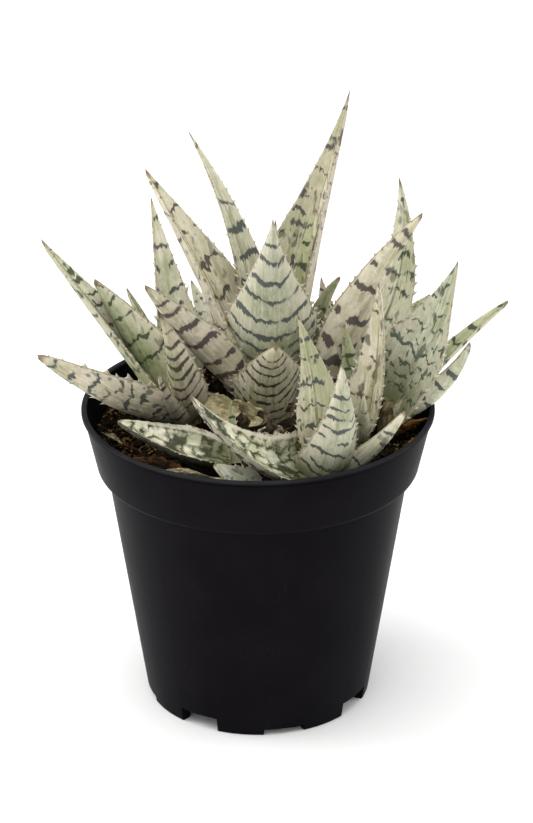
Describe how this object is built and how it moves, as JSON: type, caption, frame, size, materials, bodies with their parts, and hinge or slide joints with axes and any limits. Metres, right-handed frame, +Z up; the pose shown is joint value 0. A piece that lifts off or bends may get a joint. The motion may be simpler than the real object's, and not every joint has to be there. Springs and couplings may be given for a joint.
{
  "type": "potted aloe",
  "caption": "Clump of aloe rosettes with pale, dark-banded, toothed leaves, growing in soil in a black plastic nursery pot with a deep rim band and notched feet.",
  "frame": {"origin": "on the pot's axis in the plane that its feet stand on, at the middle of the gate boss under its floor", "axes": "+Z up along the pot's axis, -Y towards the side seen in the picture, +X to the picture's right"},
  "size_m": [0.158, 0.128, 0.207],
  "materials": {
    "pot": "semi-matte black moulded plastic",
    "soil": "dark peat with golden grit",
    "stem": "dry plant stem",
    "leaf_cream": "pale cream leaf with blue-grey bands",
    "leaf_green": "pale green leaf with dark green marks",
    "leaf_pink": "pale pinkish leaf with purple-grey bands"
  },
  "bodies": {
    "root": {"leaf_back_left": "leaf_green", "leaf_back_low": "leaf_cream", "leaf_back_middle": "leaf_pink", "leaf_back_right_long": "leaf_cream", "leaf_back_right_side": "leaf_green", "leaf_back_right_upright": "leaf_pink", "leaf_back_upright": "leaf_cream", "leaf_front_arch": "leaf_cream", "leaf_front_broad": "leaf_cream", "leaf_front_left_small": "leaf_green", "leaf_front_right_small": "leaf_cream", "leaf_front_tip": "leaf_cream", "leaf_front_trough": "leaf_cream", "leaf_front_upright": "leaf_green", "leaf_left_broad": "leaf_green", "leaf_left_inner": "leaf_pink", "leaf_left_long": "leaf_pink", "leaf_left_low": "leaf_pink", "leaf_left_small": "leaf_green", "leaf_left_thin": "leaf_pink", "leaf_left_upright": "leaf_cream", "leaf_main_back_left": "leaf_cream", "leaf_main_back_right": "leaf_green", "leaf_main_behind": "leaf_cream", "leaf_main_cone": "leaf_cream", "leaf_main_front": "leaf_cream", "leaf_main_left": "leaf_pink", "leaf_main_left_low": "leaf_pink", "leaf_main_right": "leaf_pink", "leaf_main_slim": "leaf_green", "leaf_main_small_right": "leaf_green", "leaf_main_tall": "leaf_pink", "leaf_right_broad": "leaf_green", "leaf_right_front_small": "leaf_pink", "leaf_right_inner": "leaf_green", "leaf_right_low": "leaf_cream", "leaf_right_slim": "leaf_green", "leaf_right_upright": "leaf_pink", "pot": "pot", "soil": "soil", "stem_back": "stem", "stem_back_right": "stem", "stem_front": "stem", "stem_front_edge": "stem", "stem_front_left": "stem", "stem_inner_right": "stem", "stem_left": "stem", "stem_left_back": "stem", "stem_main": "stem", "stem_right": "stem", "stem_right_front": "stem"}
  },
  "joints": []
}
